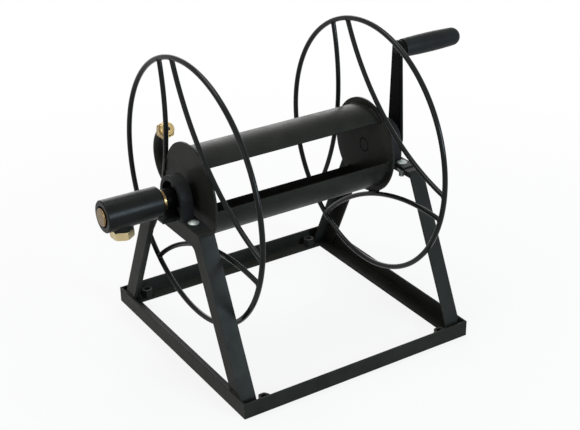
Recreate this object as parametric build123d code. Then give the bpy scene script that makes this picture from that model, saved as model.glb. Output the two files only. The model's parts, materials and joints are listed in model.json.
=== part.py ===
from build123d import *
import os
from math import atan2, cos, degrees, radians, sin, tan

# Free-standing hose reel. X runs along the reel's axis towards the crank, -Y is the front and Z is up.
# The origin is the centre of the base, on the ground. All sizes are in millimetres and degrees.

# Base of four mitred angle rails
base_width = 398.0
base_depth = 394.0
angle_leg = 25.0
angle_wall = 3.0
angle_toe_radius = 1.4
base_nut_inset_x = 41.0
base_nut_inset_y = 14.0
base_nut_flats = 17.0
base_nut_height = 13.0
base_bolt_diameter = 10.0

# Side frames, each one bent angle standing inside the base
frame_top = 238.0
frame_top_length = 160.0
foot_setback = 4.5
frame_bend_radius = 8.0
frame_web_radius = 12.0

# Moulded bearing blocks and their cup head bolts
bearing_rise = 26.0
bearing_foot_width = 24.0
bearing_length = 19.0
bearing_radius = 33.0
bearing_rim = 7.0
bearing_web = 6.0
bearing_hub_radius = 16.0
bearing_hub_reach = 12.5
bearing_shelf_reach = 22.0
bearing_shelf_width = 32.0
bearing_shelf_drop = 3.0
bearing_shelf_gap = 0.3
bearing_rib = 3.5
bearing_lug = 7.0
bearing_edge_radius = 1.2
bearing_foot_margin = 19.0
bearing_foot_thickness = 2.0
bearing_bolt_gap = 2.3
bolt_diameter = 8.0
bolt_head_diameter = 16.5
bolt_head_height = 2.8
bolt_hole_clearance = 0.5
bolt_overhang = 10.0
bolt_nut_flats = 13.0
bolt_nut_height = 6.5
bolt_washer_diameter = 16.0
bolt_washer_thickness = 1.6
thread_clearance = 0.05

# Reel journals and running fits
journal_diameter = 27.0
running_clearance = 0.05
end_play = 0.3

# Drum between two discs
left_disc_gap = 7.5
right_disc_gap = 26.2
disc_diameter = 150.0
disc_thickness = 3.0
drum_diameter = 132.0
drum_wall = 3.0
drum_slot_angle = 58.0
drum_slot_middle_angle = 67.0

# Reel rings and bowed spokes
ring_diameter = 394.0
ring_rod_diameter = 8.0
spoke_rod_diameter = 7.5
left_spoke_angle = 43.0
right_spoke_angle = 39.5
spoke_half_angle = 54.0
spoke_count = 3

# Brass spindle inside the swivel
spindle_bore = 14.0
spindle_flange_diameter = 31.0
spindle_flange_thickness = 5.0
spindle_thread_diameter = 21.0
spindle_thread_length = 12.0
spindle_end_wall = 12.0
spindle_end_reach = 2.8
spindle_end_chamfer = 1.5
spindle_port_diameter = 9.0
spindle_port_count = 4
seal_offset = 11.0
seal_thickness = 2.6
clip_setback = 8.0
clip_thickness = 1.2
clip_width = 2.6
clip_depth = 0.9
clip_opening = 9.0

# Swivel housing and hanging inlet
swivel_length = 88.5
swivel_end_diameter = 47.5
swivel_root_diameter = 45.5
swivel_end_chamfer = 1.3
swivel_root_chamfer = 3.0
swivel_mouth_diameter = 32.0
inlet_from_end = 28.0
inlet_chamber_diameter = 33.0
inlet_chamber_width = 14.0
inlet_boss_diameter = 34.0
inlet_boss_reach = 24.2
inlet_bore = 12.0
tail_thread_diameter = 17.0
tail_thread_length = 7.0
tail_collar_diameter = 22.0
tail_collar_height = 1.4
tail_neck_diameter = 19.0
tail_flange_diameter = 24.6
tail_flange_thickness = 1.8
inlet_nut_flats = 30.0
inlet_nut_angle = 34.0
inlet_nut_lip = 2.2
inlet_thread_diameter = 26.0
inlet_thread_length = 6.0
inlet_relief_diameter = 27.0
inlet_washer_thickness = 1.8

# Gooseneck from the spindle to the hose outlet
pipe_diameter = 17.0
pipe_wall = 2.4
pipe_plane_offset = 21.0
pipe_drop_angle = 22.0
pipe_run = 86.5
pipe_bend_radius = 45.0
pipe_bend_angle = 169.0
pipe_rise = 2.0
elbow_bend_radius = 18.0
elbow_diameter = 25.0
elbow_collar_diameter = 32.0
elbow_collar_length = 12.0
outlet_flats = 24.5
outlet_hex_length = 9.5
outlet_hex_angle = 12.0
outlet_thread_diameter = 22.4
outlet_bore = 7.0
outlet_thread_length = 6.0
outlet_socket_depth = 7.0
outlet_chamfer = 1.6

# Crank axle, arm and turning grip
axle_seat_diameter = 21.0
collar_diameter = 42.0
collar_length = 12.0
collar_screw_diameter = 6.0
tenon_diameter = 18.0
tenon_flats = 14.0
crank_screw_diameter = 10.0
crank_screw_length = 24.0
crank_screw_head_diameter = 24.0
crank_screw_head_height = 3.0
crank_screw_socket = 6.0
crank_gap = 4.0
crank_throw = 143.0
crank_thickness = 6.5
crank_hub_radius = 17.0
crank_tip_radius = 10.0
crank_tip_overhang = 4.0
crank_edge_radius = 1.6
crank_boss_diameter = 25.0
crank_boss_height = 6.0
grip_length = 108.0
grip_end_diameter = 28.0
grip_belly_diameter = 30.5
grip_dome_length = 14.0
grip_pin_diameter = 10.0
grip_pin_length = 84.0
grip_head_diameter = 13.0
grip_head_length = 5.0
grip_stud_diameter = 8.0
grip_rivet_diameter = 13.0
grip_rivet_height = 1.0

# Stations along the reel's axis, measured outwards from the middle of the base
axis_height = frame_top + bearing_rise
frame_outside = base_width / 2 - angle_wall
bearing_middle = frame_outside - angle_leg / 2
bearing_outside = bearing_middle + bearing_foot_width / 2
bearing_inside = bearing_middle - bearing_foot_width / 2
bearing_bolt_y = bearing_radius + bearing_bolt_gap + bolt_head_diameter / 2
hub_face = bearing_outside + bearing_hub_reach
left_disc_outside = bearing_inside - left_disc_gap
left_disc_inside = left_disc_outside - disc_thickness
right_disc_outside = bearing_inside - right_disc_gap
right_disc_inside = right_disc_outside - disc_thickness
flange_inside = hub_face + end_play
flange_outside = flange_inside + spindle_flange_thickness
swivel_root = flange_outside + end_play
swivel_end = swivel_root + swivel_length
inlet_station = swivel_end - inlet_from_end
crank_inside = bearing_outside + crank_gap
crank_outside = crank_inside + crank_thickness
grip_seat = crank_outside + crank_boss_height
grip_root = grip_seat + end_play

journal_radius = journal_diameter / 2
bearing_bore = journal_radius + running_clearance
nut_x = base_width / 2 - base_nut_inset_x
nut_y = base_depth / 2 - base_nut_inset_y
clip_outside = swivel_end - clip_setback
clip_inside = clip_outside - clip_thickness
clip_seat = clip_inside - end_play
pipe_station = left_disc_inside - pipe_plane_offset
pipe_start = elbow_bend_radius + end_play
inlet_boss_face = axis_height - inlet_boss_reach
inlet_nut_top = inlet_boss_face - tail_collar_height
tail_flange_top = inlet_nut_top - inlet_nut_lip - end_play
tail_flange_bottom = tail_flange_top - tail_flange_thickness
inlet_washer_bottom = tail_flange_bottom - inlet_washer_thickness
inlet_nut_bottom = inlet_washer_bottom - inlet_thread_length


def on_axis(shape):
    """Lift a shape that was made about the X axis up to the reel's axis."""
    return Pos(0, 0, axis_height) * shape


def turned(*points):
    """Revolve a closed outline of (x, radius) points about the X axis."""
    return revolve(make_face(Polyline(*points, close=True)), Axis.X, 360)


def rod_x(radius, start, end):
    """A round bar along X from one station to another."""
    return extrude(Plane.YZ.offset(start) * Circle(radius), end - start)


def rod_z(radius, bottom, top):
    """A round bar along Z."""
    return extrude(Plane.XY.offset(bottom) * Circle(radius), top - bottom)


def ring_z(outer, inner, bottom, top):
    """A flat washer or plain tube about Z."""
    return rod_z(outer, bottom, top) - rod_z(inner, bottom, top)


def hex_nut(flats, height, bore):
    """A hexagon nut about Z with chamfered corners, standing on z = 0."""
    corner = flats / 2 / cos(radians(30))
    prism = extrude(RegularPolygon(corner, 6), height)
    turned_blank = rod_z(corner, 0, height)
    turned_blank = chamfer(turned_blank.edges(), (corner - flats / 2) * 0.6)
    return (prism & turned_blank) - rod_z(bore, 0, height)


def swept(path, radius):
    """A round bar along a path."""
    return sweep(Plane(path @ 0, z_dir=path % 0) * Circle(radius), path=path)


def cap_middle(radius, height):
    """The point half way along a spherical cap's profile, as (radius, height) above the cap's rim."""
    sphere = (radius ** 2 + height ** 2) / (2 * height)
    half_angle = atan2(radius, sphere - height) / 2
    return sphere * sin(half_angle), height - sphere + sphere * cos(half_angle)


def separate(solids):
    """Several loose pieces kept together as one node."""
    return Compound([piece for solid in solids for piece in solid.solids()])


def left_of(shape):
    """The mirror image of a piece of the crank side, for the swivel side."""
    return mirror(shape, Plane.YZ)


# Base

def angle_rail(length):
    """One mitred rail along X: upright leg at y = 0, flange on the ground towards +Y."""
    upright = Pos(angle_wall / 2, angle_leg / 2) * Rectangle(angle_wall, angle_leg)
    flange = Pos(angle_leg / 2, angle_wall / 2) * Rectangle(angle_leg, angle_wall)
    section = upright + flange
    toes = section.vertices().filter_by(lambda v: v.X + v.Y > angle_leg + angle_wall / 2)
    section = fillet(toes, angle_toe_radius)
    bar = extrude(Plane.YZ * section, length / 2, both=True)
    half = length / 2
    inner_half = half - angle_leg
    plan = Polyline((-half, 0), (half, 0), (inner_half, angle_leg), (-inner_half, angle_leg), close=True)
    return bar & extrude(make_face(plan), angle_leg)


def long_rail():
    """A front or rear rail with the two fixing holes in its flange."""
    rail = Pos(0, -base_depth / 2, 0) * angle_rail(base_width)
    for x in (-nut_x, nut_x):
        rail -= Pos(x, -nut_y, 0) * rod_z(base_bolt_diameter / 2, 0, angle_wall)
    return rail


def side_rail():
    return Pos(-base_width / 2, 0, 0) * Rot(0, 0, -90) * angle_rail(base_depth)


def base_nuts():
    nut = hex_nut(base_nut_flats, base_nut_height, base_bolt_diameter / 2)
    places = GridLocations(2 * nut_x, 2 * nut_y, 2, 2)
    return separate([Pos(0, 0, angle_wall) * place * nut for place in places])


# Side frames

frame_foot_half = base_depth / 2 - angle_wall - foot_setback
frame_lean = atan2(frame_foot_half - frame_top_length / 2, frame_top - angle_wall)


def frame_outline(inset, corner_radius):
    """The side frame's trapezium, moved inwards by a distance on its legs and top."""
    foot = frame_foot_half - inset / cos(frame_lean)
    top = frame_top - inset
    shoulder = foot - (top - angle_wall) * tan(frame_lean)
    edge = Polyline((-foot, angle_wall), (-shoulder, top), (shoulder, top), (foot, angle_wall), close=True)
    outline = make_face(edge)
    return fillet(outline.vertices().sort_by(Axis.Y)[-2:], corner_radius)


def side_frame():
    """A bent angle: its web faces outwards and its flange runs round the legs and top."""
    outside = frame_outline(0, frame_bend_radius)
    web = outside - frame_outline(angle_leg, frame_web_radius)
    band = outside - frame_outline(angle_wall, frame_bend_radius - angle_wall)
    frame = extrude(Plane.YZ.offset(frame_outside - angle_wall) * web, angle_wall)
    frame += extrude(Plane.YZ.offset(frame_outside - angle_leg) * band, angle_leg)
    for y in (-bearing_bolt_y, bearing_bolt_y):
        hole = rod_z(bolt_diameter / 2 + bolt_hole_clearance, frame_top - angle_wall, frame_top)
        frame -= Pos(bearing_middle, y, 0) * hole
    return frame


# Bearing blocks

def arch(radius, bottom):
    """A round-topped opening or block about the reel's axis, with straight sides down to a level."""
    crown = Circle(radius) & Pos(0, radius / 2) * Rectangle(2 * radius, radius)
    return crown + Pos(0, bottom / 2) * Rectangle(2 * radius, -bottom)


def bearing_block():
    """The swivel side's moulded block: a hub on a web and ribs, in a recess that faces the swivel."""
    foot_top = bearing_foot_thickness - bearing_rise
    foot_length = 2 * (bearing_bolt_y + bearing_foot_margin)
    back = bearing_foot_width - bearing_length
    block = extrude(Plane.YZ.offset(back) * arch(bearing_radius, -bearing_rise), bearing_length)
    rim_edge = block.faces().sort_by(Axis.X)[-1].outer_wire().edges()
    rim_edge = rim_edge.filter_by(lambda e: e.center().Z > foot_top)
    block = fillet(rim_edge, bearing_edge_radius)

    foot_plan = Pos(bearing_foot_width / 2, 0) * Rectangle(bearing_foot_width, foot_length)
    shelf_middle = bearing_foot_width + bearing_shelf_reach / 2
    shelf_plan = Pos(shelf_middle, 0) * Rectangle(bearing_shelf_reach, bearing_shelf_width)
    foot = extrude(Plane.XY.offset(-bearing_rise) * (foot_plan + shelf_plan), bearing_foot_thickness)
    block += chamfer(foot.faces().sort_by(Axis.Z)[-1].edges(), bearing_edge_radius / 2)
    lip_start = frame_outside - bearing_inside + bearing_shelf_gap
    lip_length = bearing_foot_width + bearing_shelf_reach - lip_start
    lip_plan = Pos(lip_start + lip_length / 2, 0) * Rectangle(lip_length, bearing_shelf_width)
    block += extrude(Plane.XY.offset(-bearing_rise) * lip_plan, -bearing_shelf_drop)

    pocket = arch(bearing_radius - bearing_rim, foot_top)
    web_face = back + bearing_web
    depth = bearing_foot_width - web_face
    block -= extrude(Plane.YZ.offset(web_face) * pocket, depth)
    rib_reach = 2 * bearing_radius
    rib = Pos(0, -rib_reach / 2) * Rectangle(bearing_rib, rib_reach)
    lug = Pos(0, bearing_radius / 2) * Rectangle(bearing_lug, bearing_radius)
    rib_angle = degrees(atan2(bearing_radius - bearing_rim, -foot_top))
    stays = lug + Rot(0, 0, rib_angle) * rib + Rot(0, 0, -rib_angle) * rib
    block += extrude(Plane.YZ.offset(web_face) * (stays & pocket), depth * 0.7)
    hub_end = bearing_foot_width + bearing_hub_reach
    block += rod_x(bearing_hub_radius, back, hub_end)
    block -= rod_x(bearing_bore, back, hub_end)
    for y in (-bearing_bolt_y, bearing_bolt_y):
        hole = rod_z(bolt_diameter / 2 + bolt_hole_clearance, -bearing_rise, foot_top)
        block -= Pos(bearing_foot_width / 2, y, 0) * hole
    return on_axis(Pos(-bearing_inside, 0, 0) * left_of(block))


def bearing_bolt_places():
    return [Pos(*place.position) for place in GridLocations(2 * bearing_middle, 2 * bearing_bolt_y, 2, 2)]


bolt_seat = frame_top + bearing_foot_thickness
bolt_washer_top = frame_top - angle_wall
bolt_nut_top = bolt_washer_top - bolt_washer_thickness
bolt_tip = bolt_nut_top - bolt_nut_height - bolt_overhang


def bearing_bolts():
    """Cup head bolts, a shallow dome over a plain shank."""
    radius = bolt_head_diameter / 2
    cap = ThreePointArc((radius, 0), cap_middle(radius, bolt_head_height), (0, bolt_head_height))
    outline = make_face([cap, Line((0, bolt_head_height), (0, 0)), Line((0, 0), (radius, 0))])
    head = revolve(Plane.XZ * outline, Axis.Z, 360)
    shank = rod_z(bolt_diameter / 2, bolt_tip, bolt_seat)
    bolt = Pos(0, 0, bolt_seat) * head + shank
    return separate([place * bolt for place in bearing_bolt_places()])


def bearing_washers():
    inner = bolt_diameter / 2 + bolt_hole_clearance
    washer = ring_z(bolt_washer_diameter / 2, inner, bolt_nut_top, bolt_washer_top)
    return separate([place * washer for place in bearing_bolt_places()])


def bearing_nuts():
    nut = hex_nut(bolt_nut_flats, bolt_nut_height, bolt_diameter / 2 + thread_clearance)
    nut = Pos(0, 0, bolt_nut_top - bolt_nut_height) * nut
    return separate([place * nut for place in bearing_bolt_places()])


# Drum, rings and spokes

def drum_disc(outside, inside, hole_diameter):
    disc = rod_x(disc_diameter / 2, inside, outside) - rod_x(hole_diameter / 2, inside, outside)
    return on_axis(disc)


def drum_plate(turn):
    """A rolled plate over the part of the drum between two slots; turn is its middle from the top."""
    half = (180 - drum_slot_angle) / 2
    outer = drum_diameter / 2
    inner = outer - drum_wall

    def point(radius, angle):
        return (-radius * sin(radians(angle)), radius * cos(radians(angle)))

    start, end = turn - half, turn + half
    outside = ThreePointArc(point(outer, start), point(outer, turn), point(outer, end))
    inside = ThreePointArc(point(inner, start), point(inner, turn), point(inner, end))
    ends = [Line(point(outer, angle), point(inner, angle)) for angle in (start, end)]
    section = make_face([outside, inside, *ends])
    length = left_disc_inside + right_disc_inside
    return on_axis(extrude(Plane.YZ.offset(-left_disc_inside) * section, length))


left_ring_plane = -left_disc_inside - disc_thickness / 2
right_ring_plane = right_disc_inside + disc_thickness / 2


def ring(station):
    return on_axis(Pos(station, 0, 0) * Rot(0, 90, 0) * Torus(ring_diameter / 2, ring_rod_diameter / 2))


def spoke(station, turn):
    """A rod bowed inwards: it rests on the disc's rim and its ends are coped onto the ring."""
    middle_radius = disc_diameter / 2 + spoke_rod_diameter / 2
    end_radius = ring_diameter / 2

    def point(radius, angle):
        return (station, -radius * sin(radians(angle)), radius * cos(radians(angle)))

    start = point(end_radius, turn - spoke_half_angle)
    end = point(end_radius, turn + spoke_half_angle)
    bow = ThreePointArc(start, point(middle_radius, turn), end)
    return on_axis(swept(bow, spoke_rod_diameter / 2)) - ring(station)


# Brass spindle and swivel

def spindle():
    """A hollow shaft: blind at its outer end, with a flange, cross ports and a threaded inner end."""
    end = swivel_end + spindle_end_reach
    flange = spindle_flange_diameter / 2
    thread_end = left_disc_inside - spindle_thread_length
    body = turned(
        (thread_end, 0),
        (thread_end, spindle_thread_diameter / 2),
        (left_disc_outside, spindle_thread_diameter / 2),
        (left_disc_outside, journal_radius),
        (flange_inside, journal_radius),
        (flange_inside, flange),
        (flange_outside, flange),
        (flange_outside, journal_radius),
        (end - spindle_end_chamfer, journal_radius),
        (end, journal_radius - spindle_end_chamfer),
        (end, 0),
    )
    body -= rod_x(spindle_bore / 2, thread_end, end - spindle_end_wall)
    for index in range(spindle_port_count):
        port = rod_z(spindle_port_diameter / 2, 0, journal_diameter)
        body -= Pos(inlet_station, 0, 0) * Rot(360 / spindle_port_count * index, 0, 0) * port
    for station in seal_stations():
        half = seal_thickness / 2 + thread_clearance
        body -= groove(station - half, station + half, seal_thickness + running_clearance)
    body -= groove(clip_inside, clip_outside, clip_depth)
    return on_axis(left_of(body))


def seal_stations():
    return inlet_station - seal_offset, inlet_station + seal_offset


def groove(start, end, depth):
    """A square groove round the journal."""
    return rod_x(journal_radius + depth, start, end) - rod_x(journal_radius - depth, start, end)


def spindle_seals():
    """Rubber rings that lie in the grooves on each side of the inlet ports."""
    section = seal_thickness / 2
    ring_seal = Rot(0, 90, 0) * Torus(journal_radius - section, section)
    return separate([on_axis(Pos(-station, 0, 0) * ring_seal) for station in seal_stations()])


def spindle_clip():
    """A spring clip with an open side that keeps the housing on the spindle."""
    inner = journal_radius - clip_depth
    clip = rod_x(inner + clip_width, clip_inside, clip_outside) - rod_x(inner, clip_inside, clip_outside)
    opening = Pos((clip_inside + clip_outside) / 2, 0, journal_radius)
    clip -= opening * Box(2 * clip_thickness, clip_opening, journal_diameter)
    return on_axis(left_of(clip))


def swivel_housing():
    """A tapered housing round the spindle with an inlet chamber and a boss below it."""
    root = swivel_root_diameter / 2
    end = swivel_end_diameter / 2
    body = turned(
        (swivel_root, 0),
        (swivel_root, root - swivel_root_chamfer),
        (swivel_root + swivel_root_chamfer, root),
        (swivel_end - swivel_end_chamfer, end),
        (swivel_end, end - swivel_end_chamfer),
        (swivel_end, 0),
    )
    body += Pos(inlet_station, 0, 0) * rod_z(inlet_boss_diameter / 2, -inlet_boss_reach, 0)
    body -= rod_x(bearing_bore, swivel_root, swivel_end)
    body -= rod_x(swivel_mouth_diameter / 2, clip_seat, swivel_end)
    chamber_half = inlet_chamber_width / 2
    body -= rod_x(inlet_chamber_diameter / 2, inlet_station - chamber_half, inlet_station + chamber_half)
    body -= Pos(inlet_station, 0, 0) * rod_z(inlet_bore / 2, -inlet_boss_reach, 0)
    thread = tail_thread_diameter / 2 + thread_clearance
    thread_top = tail_thread_length - inlet_boss_reach
    body -= Pos(inlet_station, 0, 0) * rod_z(thread, -inlet_boss_reach, thread_top)
    return on_axis(left_of(body))


def inlet_tail():
    """A flanged tail screwed into the boss; the inlet nut hangs on its flange."""
    tail = rod_z(tail_thread_diameter / 2, inlet_boss_face, inlet_boss_face + tail_thread_length)
    tail += rod_z(tail_collar_diameter / 2, inlet_nut_top + end_play, inlet_boss_face)
    tail += rod_z(tail_neck_diameter / 2, tail_flange_bottom, inlet_nut_top + end_play)
    tail += rod_z(tail_flange_diameter / 2, tail_flange_bottom, tail_flange_top)
    tail -= rod_z(inlet_bore / 2, tail_flange_bottom, inlet_boss_face + tail_thread_length)
    return Pos(-inlet_station, 0, 0) * tail


def inlet_washer():
    washer = ring_z(tail_flange_diameter / 2, inlet_bore / 2, inlet_washer_bottom, tail_flange_bottom)
    return Pos(-inlet_station, 0, 0) * washer


def inlet_nut():
    """A hexagon union nut: a lip above, a relief for the tail's flange and a threaded mouth below."""
    height = inlet_nut_top - inlet_nut_bottom
    neck = tail_neck_diameter / 2 + running_clearance
    nut = Pos(0, 0, inlet_nut_bottom) * Rot(0, 0, inlet_nut_angle) * hex_nut(inlet_nut_flats, height, neck)
    nut -= rod_z(inlet_thread_diameter / 2, inlet_nut_bottom, inlet_washer_bottom)
    nut -= rod_z(inlet_relief_diameter / 2, inlet_washer_bottom, inlet_nut_top - inlet_nut_lip)
    return Pos(-inlet_station, 0, 0) * nut


# Gooseneck: the pipe lies in a plane across the axis and leaves through the rear slot

pipe_way = Vector(0, cos(radians(pipe_drop_angle)), -sin(radians(pipe_drop_angle)))
pipe_plane = Plane((-pipe_station, 0, axis_height), x_dir=pipe_way, z_dir=(1, 0, 0))
pipe_lead = Line((pipe_start, 0), (pipe_run, 0))
pipe_bend = JernArc(pipe_lead @ 1, pipe_lead % 1, pipe_bend_radius, pipe_bend_angle)
pipe_tail = Line(pipe_bend @ 1, pipe_bend @ 1 + (pipe_bend % 1) * (pipe_rise + outlet_socket_depth))
bend_end = pipe_plane.from_local_coords(pipe_bend @ 1)
outlet_way = pipe_plane.from_local_coords(pipe_bend @ 1 + pipe_bend % 1) - bend_end
hex_start = bend_end + outlet_way * pipe_rise


def outlet_pipe():
    path = pipe_plane * Wire([pipe_lead, pipe_bend, pipe_tail])
    return swept(path, pipe_diameter / 2) - swept(path, pipe_diameter / 2 - pipe_wall)


def outlet_elbow():
    """A screwed elbow that turns the flow from the spindle into the pipe, with a band at each mouth."""
    plane = Plane((0, 0, axis_height), x_dir=(1, 0, 0), z_dir=Vector(1, 0, 0).cross(pipe_way))
    bend_start = -pipe_station - elbow_bend_radius
    lead = Line((-left_disc_inside, 0), (bend_start, 0))
    bend = JernArc((bend_start, 0), (1, 0), elbow_bend_radius, 90)
    path = plane * Wire([lead, bend])
    collar = elbow_collar_diameter / 2
    elbow = swept(path, elbow_diameter / 2)
    elbow += on_axis(rod_x(collar, -left_disc_inside, spindle_thread_length - left_disc_inside))
    mouth = Plane(pipe_plane.origin + pipe_way * elbow_bend_radius, z_dir=pipe_way)
    elbow += extrude(mouth * Circle(collar), elbow_collar_length)
    elbow -= swept(path, pipe_diameter / 2 - pipe_wall)
    thread = spindle_thread_diameter / 2 + thread_clearance
    elbow -= on_axis(rod_x(thread, -left_disc_inside, spindle_thread_length - left_disc_inside))
    elbow -= extrude(mouth * Circle(pipe_diameter / 2 + thread_clearance), elbow_collar_length)
    return elbow


def outlet_adaptor():
    """A hexagon socket on the pipe with a threaded stub for the hose."""
    bore = outlet_bore / 2
    length = outlet_hex_length + outlet_thread_length
    adaptor = hex_nut(outlet_flats, outlet_hex_length, bore)
    stub = rod_z(outlet_thread_diameter / 2, outlet_hex_length, length)
    stub = chamfer(stub.faces().sort_by(Axis.Z)[-1].edges(), outlet_chamfer)
    adaptor += stub - rod_z(bore, outlet_hex_length, length)
    adaptor -= rod_z(pipe_diameter / 2 + thread_clearance, 0, outlet_socket_depth)
    return Plane(hex_start, x_dir=(1, 0, 0), z_dir=outlet_way) * Rot(0, 0, outlet_hex_angle) * adaptor


# Crank

collar_face = bearing_inside - bearing_hub_reach - end_play
crank_screw_seat = crank_outside - crank_screw_head_height
grip_plane_height = axis_height + crank_throw


def tenon_shape(clearance):
    width = tenon_flats + 2 * clearance
    return Circle(tenon_diameter / 2 + clearance) & Rectangle(2 * tenon_diameter, width)


def crank_axle():
    """A stub axle welded flush in the drum disc, with a flatted tenon and a screw hole for the crank."""
    tenon_end = crank_screw_seat - end_play
    axle = rod_x(journal_radius, right_disc_outside, crank_inside)
    axle += rod_x(axle_seat_diameter / 2, right_disc_inside, right_disc_outside)
    axle += extrude(Plane.YZ.offset(crank_inside) * tenon_shape(0), tenon_end - crank_inside)
    hole = crank_screw_diameter / 2 + thread_clearance
    axle -= rod_x(hole, crank_screw_seat - crank_screw_length - end_play, tenon_end)
    return on_axis(axle)


def axle_collar():
    """A set collar that keeps the axle from sliding through its bearing."""
    outside = collar_face
    inside = outside - collar_length
    collar = rod_x(collar_diameter / 2, inside, outside)
    collar = chamfer(collar.edges(), end_play)
    collar -= rod_x(journal_radius + thread_clearance, inside, outside)
    hole = rod_z(collar_screw_diameter / 2 + thread_clearance, 0, collar_diameter)
    collar -= Pos((inside + outside) / 2, 0, 0) * hole
    return on_axis(collar)


def collar_screw():
    middle = collar_face - collar_length / 2
    point = journal_radius + thread_clearance
    screw = rod_z(collar_screw_diameter / 2, point, collar_diameter / 2 - end_play)
    return on_axis(Pos(middle, 0, 0) * screw)


def crank_arm():
    """A tapered arm with rounded ends, a flatted hole for the axle and a boss for the grip."""
    tip_height = crank_throw + crank_tip_overhang
    ends = Circle(crank_hub_radius) + Pos(0, tip_height) * Circle(crank_tip_radius)
    outline = make_hull(ends.edges())
    arm = extrude(Plane.YZ.offset(crank_inside) * outline, crank_thickness)
    arm = fillet(arm.faces().filter_by(Axis.X).edges(), crank_edge_radius)
    boss = rod_x(crank_boss_diameter / 2, crank_outside, grip_seat)
    arm += Pos(0, 0, crank_throw) * boss
    arm -= extrude(Plane.YZ.offset(crank_inside) * tenon_shape(thread_clearance), crank_thickness)
    arm -= crank_screw_head()
    stud_hole = grip_stud_diameter / 2 + thread_clearance
    arm -= Pos(0, 0, crank_throw) * rod_x(stud_hole, crank_inside, grip_seat)
    return on_axis(arm)


def crank_screw_head():
    """The countersunk head, flush with the arm's outer face."""
    head = ((crank_screw_seat, tenon_diameter / 2), (crank_outside, crank_screw_head_diameter / 2))
    return turned((crank_screw_seat, 0), *head, (crank_outside, 0))


def crank_screw():
    """A countersunk screw with a hexagon socket that holds the arm on the axle."""
    screw = crank_screw_head()
    screw += rod_x(crank_screw_diameter / 2, crank_screw_seat - crank_screw_length, crank_screw_seat)
    socket = RegularPolygon(crank_screw_socket / 2, 6, major_radius=False)
    screw -= extrude(Plane.YZ.offset(crank_screw_seat) * socket, crank_screw_head_height)
    return on_axis(screw)


grip_pin_end = grip_root + grip_pin_length


def grip_spindle():
    """The fixed pin inside the grip, with a mushroom head and an end riveted over the arm's inner face."""
    rivet_face = crank_inside - grip_rivet_height
    pin = turned(
        (rivet_face, 0),
        (rivet_face, grip_rivet_diameter / 2 - grip_rivet_height),
        (crank_inside, grip_rivet_diameter / 2),
        (crank_inside, grip_stud_diameter / 2),
        (grip_seat, grip_stud_diameter / 2),
        (grip_seat, grip_pin_diameter / 2),
        (grip_pin_end, grip_pin_diameter / 2),
        (grip_pin_end, grip_head_diameter / 2),
        (grip_pin_end + grip_head_length / 2, grip_head_diameter / 2),
        (grip_pin_end + grip_head_length, grip_pin_diameter / 2),
        (grip_pin_end + grip_head_length, 0),
    )
    return Pos(0, 0, grip_plane_height) * pin


def grip_sleeve():
    """A barrel grip with a domed end that turns on the pin and is snapped over its head."""
    end_radius = grip_end_diameter / 2
    shoulder = grip_root + grip_length - grip_dome_length
    tip = grip_root + grip_length
    belly_middle = ((grip_root + shoulder) / 2, grip_belly_diameter / 2)
    belly = ThreePointArc((grip_root, end_radius), belly_middle, (shoulder, end_radius))
    dome_radius, dome_rise = cap_middle(end_radius, grip_dome_length)
    dome = ThreePointArc((shoulder, end_radius), (shoulder + dome_rise, dome_radius), (tip, 0))
    middle_line = Line((tip, 0), (grip_root, 0))
    root_line = Line((grip_root, 0), (grip_root, end_radius))
    sleeve = revolve(make_face([belly, dome, middle_line, root_line]), Axis.X, 360)
    sleeve -= rod_x(grip_pin_diameter / 2 + running_clearance, grip_root, grip_pin_end)
    head_end = grip_pin_end + grip_head_length + end_play
    sleeve -= rod_x(grip_head_diameter / 2 + end_play, grip_pin_end - end_play, head_end)
    return Pos(0, 0, grip_plane_height) * sleeve


front_rail = long_rail()
left_rail = side_rail()
right_frame = side_frame()
left_block = bearing_block()

pieces = {
    "base_rail_front": front_rail,
    "base_rail_rear": Rot(0, 0, 180) * front_rail,
    "base_rail_left": left_rail,
    "base_rail_right": Rot(0, 0, 180) * left_rail,
    "base_nuts": base_nuts(),
    "side_frame_left": left_of(right_frame),
    "side_frame_right": right_frame,
    "bearing_block_left": left_block,
    "bearing_block_right": Pos(2 * bearing_middle, 0, 0) * left_block,
    "bearing_bolts": bearing_bolts(),
    "bearing_washers": bearing_washers(),
    "bearing_nuts": bearing_nuts(),
    "drum_disc_left": drum_disc(-left_disc_inside, -left_disc_outside, spindle_thread_diameter),
    "drum_disc_right": drum_disc(right_disc_outside, right_disc_inside, axle_seat_diameter),
    "drum_plate_upper": drum_plate(drum_slot_middle_angle - 90),
    "drum_plate_lower": drum_plate(drum_slot_middle_angle + 90),
    "ring_left": ring(left_ring_plane),
    "ring_right": ring(right_ring_plane),
    "spindle": spindle(),
    "spindle_seals": spindle_seals(),
    "spindle_clip": spindle_clip(),
    "swivel_housing": swivel_housing(),
    "inlet_tail": inlet_tail(),
    "inlet_washer": inlet_washer(),
    "inlet_nut": inlet_nut(),
    "outlet_elbow": outlet_elbow(),
    "outlet_pipe": outlet_pipe(),
    "outlet_adaptor": outlet_adaptor(),
    "crank_axle": crank_axle(),
    "axle_collar": axle_collar(),
    "collar_screw": collar_screw(),
    "crank_arm": crank_arm(),
    "crank_screw": crank_screw(),
    "grip_spindle": grip_spindle(),
    "grip_sleeve": grip_sleeve(),
}
for index in range(spoke_count):
    step = 360 / spoke_count * index
    pieces[f"spoke_left_{index + 1}"] = spoke(left_ring_plane, left_spoke_angle + step)
    pieces[f"spoke_right_{index + 1}"] = spoke(right_ring_plane, right_spoke_angle + step)

os.makedirs("parts", exist_ok=True)
for name, piece in pieces.items():
    export_step(piece, f"parts/{name}.step")
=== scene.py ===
import json
import math
import random

import bpy
from mathutils import Matrix, Vector


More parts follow.
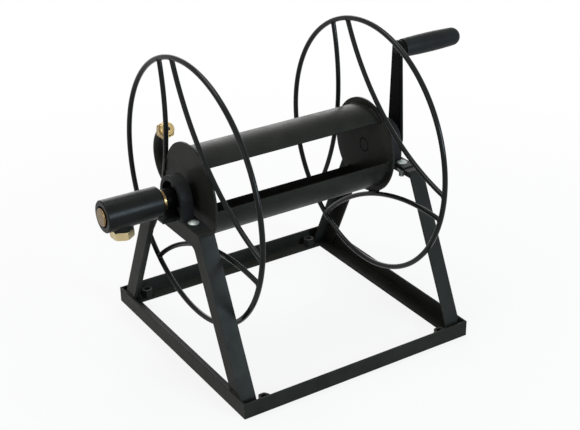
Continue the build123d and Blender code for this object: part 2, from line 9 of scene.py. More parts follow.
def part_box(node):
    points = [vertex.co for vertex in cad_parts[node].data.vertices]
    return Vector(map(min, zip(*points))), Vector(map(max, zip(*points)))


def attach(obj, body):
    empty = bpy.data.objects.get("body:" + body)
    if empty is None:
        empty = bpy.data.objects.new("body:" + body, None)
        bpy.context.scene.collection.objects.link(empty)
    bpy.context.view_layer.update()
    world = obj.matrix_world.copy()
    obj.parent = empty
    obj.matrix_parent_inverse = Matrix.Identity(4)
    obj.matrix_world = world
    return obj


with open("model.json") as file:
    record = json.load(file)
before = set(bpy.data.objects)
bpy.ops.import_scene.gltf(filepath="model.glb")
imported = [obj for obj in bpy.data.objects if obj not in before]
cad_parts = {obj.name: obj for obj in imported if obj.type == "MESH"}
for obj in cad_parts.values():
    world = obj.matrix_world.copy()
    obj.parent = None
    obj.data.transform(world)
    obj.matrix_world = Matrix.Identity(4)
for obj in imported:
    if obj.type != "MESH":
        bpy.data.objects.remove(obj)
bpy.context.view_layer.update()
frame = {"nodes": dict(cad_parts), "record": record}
nodes = frame["nodes"]
scene = bpy.context.scene

# Sizes of the solids that the welds and other trim follow, in metres and degrees
AXIS_HEIGHT = 0.264
RING_RADIUS = 0.197
RING_ROD = 0.004
SPOKE_ROD = 0.00375
SPOKE_COUNT = 3
SPOKE_HALF_SPAN = 54.0
SPOKE_TURNS = {"left": 43.0, "right": 39.5}
DISC_RADIUS = 0.075
DRUM_RADIUS = 0.066
PLATE_HALF_ANGLE = 61.0
PLATE_TURNS = (-23.0, 157.0)
AXLE_RADIUS = 0.0105
HUB_RADIUS = 0.016
HUB_FACE = -0.208
ANGLE_LEG = 0.025
ANGLE_WALL = 0.003
FRAME_TOP_HALF = 0.080
MM = 0.001
base_holes = next(mount for mount in frame["record"]["mounts"] if mount["name"] == "base_holes")["dims"]
NUT_X = base_holes["spacing_x_mm"] / 2 * MM
NUT_Y = base_holes["spacing_y_mm"] / 2 * MM


# Materials

class Shader:
    """A principled material under construction, with short calls for its nodes."""

    def __init__(self, name):
        self.material = bpy.data.materials.new(name)
        self.material.use_nodes = True
        self.tree = self.material.node_tree
        self.tree.nodes.clear()
        self.bsdf = self.tree.nodes.new("ShaderNodeBsdfPrincipled")
        output = self.tree.nodes.new("ShaderNodeOutputMaterial")
        self.link(self.bsdf.outputs["BSDF"], output.inputs["Surface"])
        self.place = self.node("ShaderNodeTexCoord").outputs["Object"]

    def node(self, kind, **settings):
        made = self.tree.nodes.new(kind)
        for key, value in settings.items():
            setattr(made, key, value)
        return made

    def link(self, source, target):
        self.tree.links.new(source, target)

    def noise(self, scale, detail=3.0, roughness=0.5):
        made = self.node("ShaderNodeTexNoise")
        self.link(self.place, made.inputs["Vector"])
        made.inputs["Scale"].default_value = scale
        made.inputs["Detail"].default_value = detail
        made.inputs["Roughness"].default_value = roughness
        return made.outputs["Fac"]

    def ramp(self, value, *stops):
        """Map a value through (position, colour or grey) stops."""
        made = self.node("ShaderNodeValToRGB")
        self.link(value, made.inputs["Fac"])
        ramp = made.color_ramp
        while len(ramp.elements) < len(stops):
            ramp.elements.new(0.5)
        for element, (position, colour) in zip(ramp.elements, stops):
            element.position = position
            grey = (colour,) * 3 if isinstance(colour, float) else colour
            element.color = (*grey, 1.0)
        return made.outputs["Color"]

    def span(self, value, low, high, from_low=0.3, from_high=0.7):
        """Map one range of a value onto another."""
        made = self.node("ShaderNodeMapRange")
        self.link(value, made.inputs["Value"])
        for key, number in (("From Min", from_low), ("From Max", from_high), ("To Min", low), ("To Max", high)):
            made.inputs[key].default_value = number
        return made.outputs["Result"]

    def mix(self, factor, first, second):
        """Blend two colours; either may be a node's output or a fixed colour."""
        made = self.node("ShaderNodeMix", data_type="RGBA")
        self.link(factor, made.inputs["Factor"])
        for key, value in (("A", first), ("B", second)):
            socket = next(s for s in made.inputs if s.name == key and s.type == "RGBA")
            if isinstance(value, tuple):
                socket.default_value = (*value, 1.0)
            else:
                self.link(value, socket)
        return next(s for s in made.outputs if s.type == "RGBA")

    def bump(self, height, strength, distance, normal=None):
        made = self.node("ShaderNodeBump")
        self.link(height, made.inputs["Height"])
        made.inputs["Strength"].default_value = strength
        made.inputs["Distance"].default_value = distance
        if normal is not None:
            self.link(normal, made.inputs["Normal"])
        return made.outputs["Normal"]

    def rounded(self, radius):
        """The surface's normal with its sharp edges rounded off."""
        made = self.node("ShaderNodeBevel", samples=6)
        made.inputs["Radius"].default_value = radius
        return made.outputs["Normal"]

    def edge(self, rounded, low=0.80, high=0.99):
        """1 on outside and inside edges, 0 on open faces."""
        flat = self.node("ShaderNodeNewGeometry")
        dot = self.node("ShaderNodeVectorMath", operation="DOT_PRODUCT")
        self.link(rounded, dot.inputs[0])
        self.link(flat.outputs["Normal"], dot.inputs[1])
        return self.span(dot.outputs["Value"], 1.0, 0.0, low, high)

    def along(self, axis, low, high):
        """0 to 1 between two places on one of the part's own axes."""
        split = self.node("ShaderNodeSeparateXYZ")
        self.link(self.place, split.inputs[0])
        return self.span(split.outputs[axis], 0.0, 1.0, low, high)

    def near_axis(self, low, high):
        """1 within the smaller distance of the reel's axis, 0 beyond the larger one."""
        offset = self.node("ShaderNodeVectorMath", operation="MULTIPLY_ADD")
        self.link(self.place, offset.inputs[0])
        offset.inputs[1].default_value = (0.0, 1.0, 1.0)
        offset.inputs[2].default_value = (0.0, 0.0, -AXIS_HEIGHT)
        reach = self.node("ShaderNodeVectorMath", operation="LENGTH")
        self.link(offset.outputs["Vector"], reach.inputs[0])
        return self.span(reach.outputs["Value"], 1.0, 0.0, low, high)

    def set(self, **values):
        """Fixed numbers and colours on the shader's own sockets."""
        for key, value in values.items():
            socket = self.bsdf.inputs[key.replace("_", " ")]
            socket.default_value = (*value, 1.0) if isinstance(value, tuple) else value

    def feed(self, **outputs):
        """Node outputs into the shader's sockets."""
        for key, output in outputs.items():
            self.link(output, self.bsdf.inputs[key.replace("_", " ")])


def powder_coat(name, tone, lustre, roughness):
    """Satin black powder coat: faint mottle, fine orange peel, and edges rubbed a little paler and painted paler
    still as highlights.
    """
    s = Shader(name)
    soft = s.rounded(0.9 * MM)
    dark, pale, dusty, rubbed_and_highlit = (tuple(share * c for c in tone) for share in (0.80, 1.15, 1.5, 2.5))
    mottle = s.ramp(s.noise(26.0, 4.0), (0.32, dark), (0.68, pale))
    dust = s.span(s.noise(180.0, 2.0, 0.6), 0.0, 0.4, 0.58, 0.80)
    coat = s.mix(dust, mottle, dusty)
    # Inside and outside edges are painted paler: partly rubbed wear, partly painted highlights.
    coat = s.mix(s.edge(soft, 0.82), coat, rubbed_and_highlit)
    peel = s.bump(s.noise(700.0, 1.0), 0.05, 0.25 * MM, soft)
    peel = s.bump(s.noise(160.0, 1.0), 0.06, 0.6 * MM, peel)
    s.set(IOR=1.5, Specular_IOR_Level=lustre)
    s.feed(Base_Color=coat, Roughness=s.span(s.noise(60.0, 3.0), roughness, 1.3 * roughness), Normal=peel)
    return s.material


def weld_coat():
    """The same coat over weld metal: a little glossier and rougher in shape."""
    s = Shader("coated_weld")
    mottle = s.ramp(s.noise(180.0, 4.0), (0.3, (0.0100, 0.0105, 0.0100)), (0.7, (0.0170, 0.0176, 0.0168)))
    s.set(IOR=1.5, Specular_IOR_Level=0.12)
    lumps = s.bump(s.noise(800.0, 3.0), 0.35, 0.5 * MM)
    s.feed(Base_Color=mottle, Roughness=s.span(s.noise(90.0), 0.24, 0.36), Normal=lumps)
    return s.material


def brass(name, dull, bright, coated_from=None):
    """Turned brass between two tones, with tool marks, edges painted bright as highlights, and tarnish; black from a
    place on X onwards.
    """
    s = Shader(name)
    soft = s.rounded(0.5 * MM)
    tone = s.ramp(s.noise(70.0, 3.0), (0.3, dull), (0.7, bright))
    tarnish = s.span(s.noise(110.0, 3.0, 0.6), 0.0, 0.4, 0.55, 0.80)
    tone = s.mix(tarnish, tone, (0.36, 0.27, 0.13))
    # Painted highlight: edges are given a lighter colour.
    tone = s.mix(s.edge(soft), tone, (0.80, 0.72, 0.50))
    s.set(Metallic=1.0)
    if coated_from is not None:
        coated = s.along("X", coated_from - MM, coated_from)
        tone = s.mix(coated, tone, (0.006, 0.006, 0.006))
        s.feed(Metallic=s.span(coated, 1.0, 0.0, 0.0, 1.0), Specular_IOR_Level=s.span(coated, 0.5, 0.05, 0.0, 1.0))
    marks = s.bump(s.noise(600.0, 1.0), 0.04, 0.2 * MM, soft)
    s.feed(Base_Color=tone, Roughness=s.span(s.noise(210.0, 2.0), 0.22, 0.32), Normal=marks)
    return s.material


def zinc():
    """Dulled zinc plating with a cool, slightly uneven lustre."""
    s = Shader("zinc_plate")
    soft = s.rounded(0.4 * MM)
    tone = s.ramp(s.noise(120.0, 3.0), (0.3, (0.34, 0.38, 0.36)), (0.7, (0.45, 0.49, 0.465)))
    tone = s.mix(s.span(s.noise(220.0, 2.0), 0.0, 0.4, 0.58, 0.8), tone, (0.21, 0.235, 0.225))
    s.set(Metallic=1.0)
    grain = s.bump(s.noise(500.0, 1.0), 0.05, 0.2 * MM, soft)
    s.feed(Base_Color=tone, Roughness=s.span(s.noise(200.0, 2.0), 0.52, 0.66), Normal=grain)
    return s.material


def moulded_plastic():
    """Matt black moulded nylon with a fine grain; bearing hubs are painted nearly black as shade, with a lower
    lustre.
    """
    s = Shader("moulded_plastic")
    soft = s.rounded(0.8 * MM)
    tone = s.ramp(s.noise(40.0, 3.0), (0.3, (0.0105, 0.0111, 0.0113)), (0.7, (0.0150, 0.0157, 0.0158)))
    # Painted shade: the hubs inside the bearing recesses are coloured nearly black.
    hub_shade = s.near_axis(HUB_RADIUS + 0.2 * MM, HUB_RADIUS + 1.0 * MM)
    tone = s.mix(hub_shade, tone, (0.0016, 0.0016, 0.0015))
    # Painted highlight: edges, the hub rims among them, are coloured paler.
    tone = s.mix(s.edge(soft), tone, (0.030, 0.031, 0.030))
    grain = s.bump(s.noise(900.0, 1.0), 0.08, 0.3 * MM, soft)
    s.set(IOR=1.48)
    s.feed(
        Base_Color=tone,
        Roughness=s.span(s.noise(75.0), 0.40, 0.52),
        Specular_IOR_Level=s.span(hub_shade, 0.07, 0.03, 0.0, 1.0),
        Normal=grain,
    )
    return s.material


def rubber():
    """Matt black rubber with a fine grain."""
    s = Shader("black_rubber")
    tone = s.ramp(s.noise(90.0, 3.0), (0.3, 0.008), (0.7, 0.015))
    s.set(Specular_IOR_Level=0.3)
    grain = s.bump(s.noise(1200.0), 0.2, 0.2 * MM)
    s.feed(Base_Color=tone, Roughness=s.span(s.noise(200.0), 0.6, 0.8), Normal=grain)
    return s.material


def gap_shade():
    """Painted shade: a dark line where the gap of a joint falls in shade."""
    s = Shader("painted_gap_shade")
    tone = s.ramp(s.noise(300.0, 3.0), (0.3, 0.0006), (0.7, 0.0020))
    s.set(Specular_IOR_Level=0.02)
    s.feed(Base_Color=tone, Roughness=s.span(s.noise(200.0), 0.7, 0.9))
    return s.material


MATERIALS = {
    "black_coat": powder_coat("black_powder_coat", (0.0175, 0.0180, 0.0156), 0.038, 0.31),
    "brass": brass("turned_brass", (0.46, 0.37, 0.19), (0.59, 0.50, 0.29)),
    "zinc_steel": zinc(),
    "black_plastic": moulded_plastic(),
    "black_rubber": rubber(),
}
WELD = weld_coat()
# Painted shade for the gap round the crank axle's end.
GAP_SHADE = gap_shade()
SWIVEL_COAT = powder_coat("black_coat_on_swivel", (0.0078, 0.0083, 0.0078), 0.09, 0.28)
# Painted shade: a darker copy of the black coat for the crank arm.
CRANK_COAT_SHADED = powder_coat("black_coat_on_crank_painted_darker", (0.0052, 0.0054, 0.0050), 0.015, 0.35)
ROD_COAT = powder_coat("black_coat_on_rod", (0.0075, 0.0080, 0.0078), 0.12, 0.15)
# Painted shade: the spindle's brass is coloured darker, for the darker surroundings its end reflects; black from the
# hub's face on.
SHADED_BRASS = brass("brass_with_painted_shade", (0.14, 0.090, 0.038), (0.23, 0.155, 0.070), HUB_FACE)
OUTLET_BRASS = brass("outlet_brass", (0.32, 0.22, 0.085), (0.46, 0.34, 0.15))
OWN_MATERIALS = {
    "swivel_housing": SWIVEL_COAT,
    "crank_arm": CRANK_COAT_SHADED,
    "spindle": SHADED_BRASS,
    "outlet_adaptor": OUTLET_BRASS,
}
for entry in frame["record"]["subparts"]:
    name = entry["node"]
    material = OWN_MATERIALS.get(name, MATERIALS[entry["material_slot"]])
    if name.startswith(("ring_", "spoke_")):
        material = ROD_COAT
    slots = nodes[name].data.materials
    slots.clear()
    slots.append(material)


# Welds

def add_piece(name, verts, faces, material, body):
    """A smooth mesh of the scene's own, in one material, that moves with a body."""
    mesh = bpy.data.meshes.new(name)
    mesh.from_pydata([tuple(v) for v in verts], [], faces)
    mesh.validate()
    mesh.shade_smooth()
    mesh.materials.append(material)
    piece = bpy.data.objects.new(name, mesh)
    scene.collection.objects.link(piece)
    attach(piece, body)


def tube_faces(start, rows, sides, closed):
    """Faces of a tube whose rows of corners follow one another from a first vertex; an open tube gets end caps."""
    faces = []
    for row in range(rows if closed else rows - 1):
        here = start + row * sides
        there = start + (row + 1) % rows * sides
        for corner in range(sides):
            after = (corner + 1) % sides
            faces.append((here + corner, here + after, there + after, there + corner))
    if not closed:
        last = start + (rows - 1) * sides
        faces.append(tuple(start + corner for corner in reversed(range(sides))))
        faces.append(tuple(last + corner for corner in range(sides)))
    return faces


def resample(path, step, closed):
    """Points at even steps along a path of points."""
    points = list(path) + ([path[0]] if closed else [])
    lengths = [(b - a).length for a, b in zip(points, points[1:])]
    total = sum(lengths)
    count = max(4, round(total / step))
    even = []
    leg, walked = 0, 0.0
    for index in range(count + (0 if closed else 1)):
        target = total * index / count
        while leg < len(lengths) - 1 and walked + lengths[leg] < target:
            walked += lengths[leg]
            leg += 1
        share = (target - walked) / lengths[leg] if lengths[leg] else 0.0
        even.append(points[leg].lerp(points[leg + 1], min(1.0, share)))
    return even, total


BEAD_SIDES = 8
BEAD_STEP = 0.55 * MM
BEAD_TIP = 0.15
BEAD_TAPER = 6
RIPPLE_PITCH = 1.9 * MM
RIPPLE_SPREAD = (0.82, 1.12)
RIPPLE_TROUGH = 0.80
RIPPLE_RISE = 0.24


class Beads:
    """Weld beads of one body, gathered in one mesh. Each bead has ripples and, if open, tapered ends."""

    def __init__(self, seed):
        self.verts, self.faces = [], []
        self.dice = random.Random(seed)

    def run(self, path, radius, closed=False):
        """Lay one bead along a path of points."""
        points, total = resample(path, BEAD_STEP, closed)
        count = len(points)
        ripples = [self.dice.uniform(*RIPPLE_SPREAD) for _ in range(int(total / RIPPLE_PITCH) + 3)]
        start = len(self.verts)
        side = None
        for index, point in enumerate(points):
            ahead = points[(index + 1) % count] if closed else points[min(index + 1, count - 1)]
            behind = points[index - 1] if closed else points[max(index - 1, 0)]
            along = (ahead - behind).normalized()
            if side is None:
                side = along.orthogonal().normalized()
            side = (side - along * side.dot(along)).normalized()
            other = along.cross(side)
            walked = total * index / count
            ripple = walked / RIPPLE_PITCH
            swell = RIPPLE_TROUGH + RIPPLE_RISE * math.sin(math.pi * (ripple % 1.0))
            size = radius * ripples[int(ripple)] * swell
            if not closed:
                reach = abs(2.0 * index / (count - 1) - 1.0)
                size *= max(BEAD_TIP, 1.0 - reach ** BEAD_TAPER)
            for corner in range(BEAD_SIDES):
                turn = 2.0 * math.pi * corner / BEAD_SIDES
                self.verts.append(point + side * (size * math.cos(turn)) + other * (size * math.sin(turn)))
        self.faces += tube_faces(start, count, BEAD_SIDES, closed)

    def piece(self, name, body):
        add_piece(name, self.verts, self.faces, WELD, body)


def polar(station, radius, angle):
    """A point on the reel; the angle is taken from the top towards the front."""
    turn = math.radians(angle)
    return Vector((station, -radius * math.sin(turn), AXIS_HEIGHT + radius * math.cos(turn)))


def circle_through(a, b, c):
    """Centre and radius of the circle through three points of one plane across X."""
    (ay, az), (by, bz), (cy, cz) = ((p.y, p.z) for p in (a, b, c))
    d = 2.0 * (ay * (bz - cz) + by * (cz - az) + cy * (az - bz))
    aa, bb, cc = ay * ay + az * az, by * by + bz * bz, cy * cy + cz * cz
    y = (aa * (bz - cz) + bb * (cz - az) + cc * (az - bz)) / d
    z = (aa * (cy - by) + bb * (ay - cy) + cc * (by - ay)) / d
    centre = Vector((a.x, y, z))
    return centre, (a - centre).length


def ring_distance(point, station):
    """How far a point is from the middle line of a ring."""
    out = math.hypot(point.y, point.z - AXIS_HEIGHT) - RING_RADIUS
    return math.hypot(out, point.x - station)


COPE_POINTS = 28
COPE_HALVINGS = 26
COPE_SEARCH_FROM = 0.35


def cope_line(station, turn, end_sign):
    """The closed line in which a spoke's end meets its ring."""
    end = polar(station, RING_RADIUS, turn + end_sign * SPOKE_HALF_SPAN)
    middle = polar(station, DISC_RADIUS + SPOKE_ROD, turn)
    far = polar(station, RING_RADIUS, turn - end_sign * SPOKE_HALF_SPAN)
    centre, radius = circle_through(end, middle, far)
    end_arm, middle_arm = end - centre, middle - centre
    full = math.acos(max(-1.0, min(1.0, end_arm.dot(middle_arm) / radius ** 2)))
    sign = math.copysign(1.0, middle_arm.cross(end_arm).x)
    line = []
    for corner in range(COPE_POINTS):
        around = 2.0 * math.pi * corner / COPE_POINTS
        outward = SPOKE_ROD * math.cos(around)
        sideways = Vector((SPOKE_ROD * math.sin(around), 0, 0))
        low, high = COPE_SEARCH_FROM * full, full
        for _ in range(COPE_HALVINGS):
            half = (low + high) / 2.0
            arm = (Matrix.Rotation(sign * half, 3, "X") @ middle_arm).normalized()
            skin = centre + arm * (radius + outward) + sideways
            if ring_distance(skin, station) > RING_ROD:
                low = half
            else:
                high = half
        line.append(skin)
    return line


COPE_BEAD = 1.1 * MM
SEAT_BEAD = 2.0 * MM
SEAT_OFFSET = 2.6 * MM
SEAT_LIFT = 0.4 * MM
SEAT_ANGLES = range(-9, 10, 3)
PLATE_BEAD = 1.7 * MM
PLATE_LIFT = 0.5 * MM
PLATE_RUNS = ((-60, -46), (-14, 6), (34, 60))
LAP_BEAD = 2.2 * MM
LAP_DEPTHS = (-1.5 * MM, 0.5 * MM, 2.5 * MM, 4.0 * MM)


def reel_end_welds(side, seed):
    """Welds of one reel end: spokes to ring, spokes to disc rim and drum plates to disc."""
    beads = Beads(seed)
    low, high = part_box("ring_" + side)
    station = (low.x + high.x) / 2.0
    disc_low, disc_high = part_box("drum_disc_" + side)
    inward = -math.copysign(1.0, station)
    inner_face = disc_high.x if inward > 0 else disc_low.x
    for index in range(SPOKE_COUNT):
        turn = SPOKE_TURNS[side] + 360.0 / SPOKE_COUNT * index
        for end_sign in (-1.0, 1.0):
            beads.run(cope_line(station, turn, end_sign), COPE_BEAD, closed=True)
        for face in (-1.0, 1.0):
            rim = station + face * SEAT_OFFSET
            beads.run([polar(rim, DISC_RADIUS + SEAT_LIFT, turn + a) for a in SEAT_ANGLES], SEAT_BEAD)
    foot = inner_face + inward * PLATE_LIFT
    for turn in PLATE_TURNS:
        for first, last in PLATE_RUNS:
            angles = range(first, last + 1, 2)
            beads.run([polar(foot, DRUM_RADIUS + PLATE_LIFT, turn + a) for a in angles], PLATE_BEAD)
        for corner in (-PLATE_HALF_ANGLE, PLATE_HALF_ANGLE):
            beads.run([polar(foot, DRUM_RADIUS - depth, turn + corner) for depth in LAP_DEPTHS], LAP_BEAD)
    beads.piece("welds_reel_" + side, "reel")


reel_end_welds("left", 11)
reel_end_welds("right", 12)


GAP_SHADE_STEPS = 72
GAP_SHADE_SECTION = ((-0.1 * MM, -0.7 * MM), (0.3 * MM, -0.7 * MM), (0.3 * MM, 0.7 * MM), (-0.1 * MM, 0.7 * MM))


def axle_mark():
    """A ring of painted shade round the crank axle's end, which is welded flush into the drum disc."""
    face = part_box("drum_disc_right")[0].x
    verts = [
        polar(face + sunk, AXLE_RADIUS + out, 360.0 * step / GAP_SHADE_STEPS)
        for step in range(GAP_SHADE_STEPS)
        for sunk, out in GAP_SHADE_SECTION
    ]
    faces = tube_faces(0, GAP_SHADE_STEPS, len(GAP_SHADE_SECTION), True)
    add_piece("axle_gap_shade", verts, faces, GAP_SHADE, "reel")


axle_mark()


CORNER_BEAD = 1.6 * MM
MITRE_BEAD = 1.1 * MM
MITRE_SHARES = (0.08, 0.94)
FOOT_BEAD = 2.0 * MM
FOOT_STATIONS = (0.1725, 0.184, 0.1945)
WEB_BEAD = 1.5 * MM
INSIDE_BEAD = 1.6 * MM
NUT_BEAD = 1.5 * MM
NUT_BEAD_RADIUS = 8.8 * MM
NUT_BEAD_TURNS = (30, 150, 270)
NUT_BEAD_SPREAD = (-14, 0, 14)
BEAD_INSET = 1.0 * MM
FOOT_BEAD_GAP = 5.0 * MM
FOOT_LIFT = 0.5 * MM
FLANGE_LIFT = 0.3 * MM
WEB_LIFT = 0.2 * MM


def stand_welds():
    """Welds of the base corners, the legs' feet and the base nuts."""
    beads = Beads(21)
    outer_low, outer_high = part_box("base_rail_front")
    half_x = outer_high.x
    half_y = -outer_low.y
    frame_low, frame_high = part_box("side_frame_right")
    lean = math.atan2(frame_high.y - FRAME_TOP_HALF, frame_high.z - frame_low.z)
    leg_width = ANGLE_LEG / math.cos(lean)
    foot_y = frame_high.y - FLANGE_LIFT
    foot_in = frame_high.y - leg_width
    foot_top = ANGLE_WALL + FOOT_LIFT
    rail_top = ANGLE_LEG + WEB_LIFT
    leg_out = frame_high.y - (rail_top - ANGLE_WALL) * math.tan(lean)
    leg_in = leg_out - leg_width
    web = half_x - ANGLE_WALL + WEB_LIFT
    inside = half_x - 2.0 * ANGLE_WALL
    flange_top = ANGLE_WALL + FLANGE_LIFT
    upright = Vector((0, 0, ANGLE_LEG - ANGLE_WALL - BEAD_INSET))
    for sx in (-1.0, 1.0):
        for sy in (-1.0, 1.0):
            corner = Vector((sx * (half_x - ANGLE_WALL), sy * (half_y - ANGLE_WALL), ANGLE_WALL))
            inner = Vector((sx * (half_x - ANGLE_LEG), sy * (half_y - ANGLE_LEG), ANGLE_WALL))
            beads.run([corner, corner + upright], CORNER_BEAD)
            beads.run([corner.lerp(inner, share) for share in MITRE_SHARES], MITRE_BEAD)
            beads.run([Vector((sx * x, sy * foot_y, foot_top)) for x in FOOT_STATIONS], FOOT_BEAD)
            web_ends = (leg_out - BEAD_INSET, leg_in + BEAD_INSET)
            beads.run([Vector((sx * web, sy * y, rail_top)) for y in web_ends], WEB_BEAD)
            inside_ends = (foot_in + BEAD_INSET, frame_high.y - FOOT_BEAD_GAP)
            beads.run([Vector((sx * inside, sy * y, flange_top)) for y in inside_ends], INSIDE_BEAD)
            nut = Vector((sx * NUT_X, sy * NUT_Y, flange_top))
            for turn in NUT_BEAD_TURNS:
                turns = [Matrix.Rotation(math.radians(turn + a), 3, "Z") for a in NUT_BEAD_SPREAD]
                beads.run([nut + spin @ Vector((NUT_BEAD_RADIUS, 0, 0)) for spin in turns], NUT_BEAD)
    beads.piece("welds_stand", "stand")


stand_welds()


# Threads

THREAD_STEPS = 28
THREAD_SUNK = 0.05 * MM
THREAD_ROOT = 0.46
THREAD_CREST = 0.08
THREAD_FADE = 4.0


def thread(verts, faces, foot, radius, depth, pitch, length):
    """A helical ridge about Z; a negative depth points inwards, for a thread in a hole."""
    start = len(verts)
    count = round(length / pitch * THREAD_STEPS)
    way = math.copysign(1.0, depth)
    root = -way * THREAD_SUNK
    for index in range(count + 1):
        turn = 2.0 * math.pi * index / THREAD_STEPS
        rise = length * index / count
        crest = depth * min(1.0, THREAD_FADE * (1.0 - abs(2.0 * index / count - 1.0)))
        for reach, lift in ((root, THREAD_ROOT), (crest, THREAD_CREST), (crest, -THREAD_CREST), (root, -THREAD_ROOT)):
            out = radius + reach
            verts.append(foot + Vector((out * math.cos(turn), out * math.sin(turn), rise + way * lift * pitch)))
    faces += tube_faces(start, count + 1, 4, False)


BOLT_HEAD_RADIUS = 8.25 * MM
BOLT_RADIUS = 4.0 * MM
BOLT_PITCH = 1.25 * MM
BOLT_RIDGE = 0.42 * MM
INLET_RADIUS = 13.0 * MM
INLET_PITCH = 1.8 * MM
INLET_RIDGE = 0.7 * MM
INLET_THREAD_LENGTH = 4.0 * MM


def bolt_threads():
    """The threads that show below the bearing blocks' nuts."""
    verts, faces = [], []
    low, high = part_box("bearing_bolts")
    nut_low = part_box("bearing_nuts")[0].z
    length = nut_low - low.z - 1.5 * BOLT_PITCH
    for x in (low.x + BOLT_HEAD_RADIUS, high.x - BOLT_HEAD_RADIUS):
        for y in (low.y + BOLT_HEAD_RADIUS, high.y - BOLT_HEAD_RADIUS):
            foot = Vector((x, y, low.z + BOLT_PITCH))
            thread(verts, faces, foot, BOLT_RADIUS, BOLT_RIDGE, BOLT_PITCH, length)
    add_piece("bolt_threads", verts, faces, MATERIALS["zinc_steel"], "stand")


def inlet_thread():
    """The hose thread in the mouth of the inlet nut."""
    verts, faces = [], []
    low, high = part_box("inlet_nut")
    foot = Vector(((low.x + high.x) / 2.0, (low.y + high.y) / 2.0, low.z + INLET_PITCH))
    thread(verts, faces, foot, INLET_RADIUS, -INLET_RIDGE, INLET_PITCH, INLET_THREAD_LENGTH)
    add_piece("inlet_thread", verts, faces, MATERIALS["brass"], "inlet_union")


bolt_threads()
inlet_thread()


# Camera, set to the photograph's viewpoint

CAMERA_PLACE = Vector((-0.9201, -1.4678, 1.0550))
CAMERA_TURN = math.radians(32.22)
CAMERA_FALL = math.radians(26.75)
CAMERA_ROLL = math.radians(-0.87)
CAMERA_LENS = 78.97
CAMERA_SENSOR = 36.0


def place_camera():
    """The camera looks ahead along its turn and fall, rolled a little about that line."""
    ahead = Vector((
        math.sin(CAMERA_TURN) * math.cos(CAMERA_FALL),
        math.cos(CAMERA_TURN) * math.cos(CAMERA_FALL),
        -math.sin(CAMERA_FALL),
    ))
    level = Vector((math.cos(CAMERA_TURN), -math.sin(CAMERA_TURN), 0.0))
    upright = level.cross(ahead)
    right = level * math.cos(CAMERA_ROLL) + upright * math.sin(CAMERA_ROLL)
    up = upright * math.cos(CAMERA_ROLL) - level * math.sin(CAMERA_ROLL)
    data = bpy.data.cameras.new("camera")
    data.lens = CAMERA_LENS
    data.sensor_width = CAMERA_SENSOR
    camera = bpy.data.objects.new("camera", data)
    camera.matrix_world = Matrix((right, up, -ahead)).transposed().to_4x4()
    camera.location = CAMERA_PLACE
    scene.collection.objects.link(camera)
    scene.camera = camera


place_camera()


# Floor, world and lamps

def seen_directly(tree):
    """1 for camera, glossy and transmitted rays, 0 for the light that falls on things."""
    path = tree.nodes.new("ShaderNodeLightPath")
    total = path.outputs["Is Camera Ray"]
    for kind in ("Is Glossy Ray", "Is Transmission Ray"):
        larger = tree.nodes.new("ShaderNodeMath")
        larger.operation = "MAXIMUM"
        tree.links.new(total, larger.inputs[0])
        tree.links.new(path.outputs[kind], larger.inputs[1])
        total = larger.outputs[0]
    return total


FLOOR_REACH = 6.0
FLOOR_DROP = 0.3 * MM
FLOOR_TONE = 0.68
SHADOW_NEAR = 0.35
SHADOW_FAR = 1.1
WHITE_NEAR = 0.86
WHITE_FAR = 1.0
ROOM_LIGHT = 0.38
ROOM_WHITE = 1.0


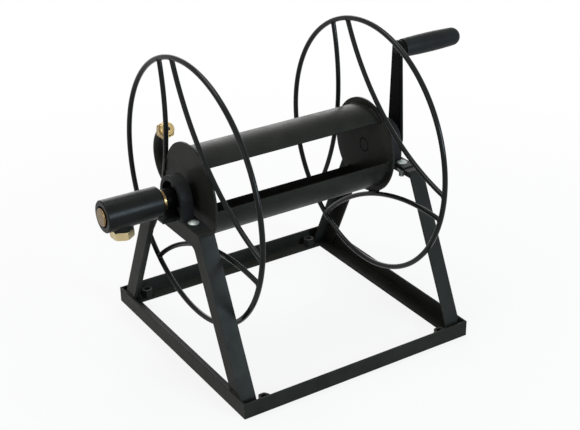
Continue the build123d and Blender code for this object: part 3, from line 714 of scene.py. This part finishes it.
def add_floor():
    """A plain pale floor: white to the eye, with the object's shadow kept near it."""
    mesh = bpy.data.meshes.new("floor")
    corners = [(x * FLOOR_REACH, y * FLOOR_REACH, 0.0) for x, y in ((-1, -1), (1, -1), (1, 1), (-1, 1))]
    mesh.from_pydata(corners, [], [(0, 1, 2, 3)])
    floor = bpy.data.objects.new("floor", mesh)
    floor.location.z = -FLOOR_DROP
    scene.collection.objects.link(floor)
    material = bpy.data.materials.new("floor_white")
    material.use_nodes = True
    tree = material.node_tree
    tree.nodes.clear()
    output = tree.nodes.new("ShaderNodeOutputMaterial")
    matt = tree.nodes.new("ShaderNodeBsdfDiffuse")
    matt.inputs["Color"].default_value = (FLOOR_TONE, FLOOR_TONE, FLOOR_TONE, 1.0)
    glow = tree.nodes.new("ShaderNodeEmission")
    glow.inputs["Strength"].default_value = ROOM_WHITE
    distance = tree.nodes.new("ShaderNodeVectorMath")
    distance.operation = "LENGTH"
    tree.links.new(tree.nodes.new("ShaderNodeTexCoord").outputs["Object"], distance.inputs[0])
    fade = tree.nodes.new("ShaderNodeMapRange")
    fade.inputs["From Min"].default_value = SHADOW_NEAR
    fade.inputs["From Max"].default_value = SHADOW_FAR
    fade.inputs["To Min"].default_value = WHITE_NEAR
    fade.inputs["To Max"].default_value = WHITE_FAR
    tree.links.new(distance.outputs["Value"], fade.inputs["Value"])
    share = tree.nodes.new("ShaderNodeMath")
    share.operation = "MULTIPLY"
    tree.links.new(seen_directly(tree), share.inputs[0])
    tree.links.new(fade.outputs["Result"], share.inputs[1])
    blend = tree.nodes.new("ShaderNodeMixShader")
    tree.links.new(share.outputs[0], blend.inputs["Fac"])
    tree.links.new(matt.outputs[0], blend.inputs[1])
    tree.links.new(glow.outputs[0], blend.inputs[2])
    tree.links.new(blend.outputs[0], output.inputs["Surface"])
    mesh.materials.append(material)


def set_world():
    """An even pale room, plain white where it is seen directly."""
    world = bpy.data.worlds.new("studio")
    scene.world = world
    world.use_nodes = True
    tree = world.node_tree
    background = tree.nodes["Background"]
    strength = tree.nodes.new("ShaderNodeMapRange")
    strength.inputs["To Min"].default_value = ROOM_LIGHT
    strength.inputs["To Max"].default_value = ROOM_WHITE
    tree.links.new(seen_directly(tree), strength.inputs["Value"])
    background.inputs["Color"].default_value = (1.0, 1.0, 1.0, 1.0)
    tree.links.new(strength.outputs["Result"], background.inputs["Strength"])


LAMP_TARGET = Vector((0.0, 0.0, 0.22))
DAYLIGHT = (0.68, 0.86, 1.0)
WHITE = (1.0, 1.0, 1.0)


def add_lamp(name, place, size, power, colour=WHITE):
    """A soft rectangular lamp that looks at the middle of the reel; its size is in metres, its power in watts."""
    data = bpy.data.lights.new(name, "AREA")
    data.shape = "RECTANGLE"
    data.size, data.size_y = size
    data.energy = power
    data.color = colour
    lamp = bpy.data.objects.new(name, data)
    lamp.location = place
    aim = LAMP_TARGET - Vector(place)
    lamp.rotation_euler = aim.to_track_quat("-Z", "Y").to_euler()
    scene.collection.objects.link(lamp)


add_floor()
set_world()
add_lamp("key", place=(0.80, -2.35, 0.95), size=(0.85, 0.85), power=47.0, colour=DAYLIGHT)
add_lamp("top", place=(-0.3, 0.5, 2.2), size=(1.4, 1.0), power=24.0)
add_lamp("fill", place=(-2.0, -0.6, 1.1), size=(0.8, 1.2), power=6.0)
add_lamp("back", place=(0.95, 1.9, 0.85), size=(1.4, 1.4), power=16.0)

scene.view_settings.view_transform = "Standard"
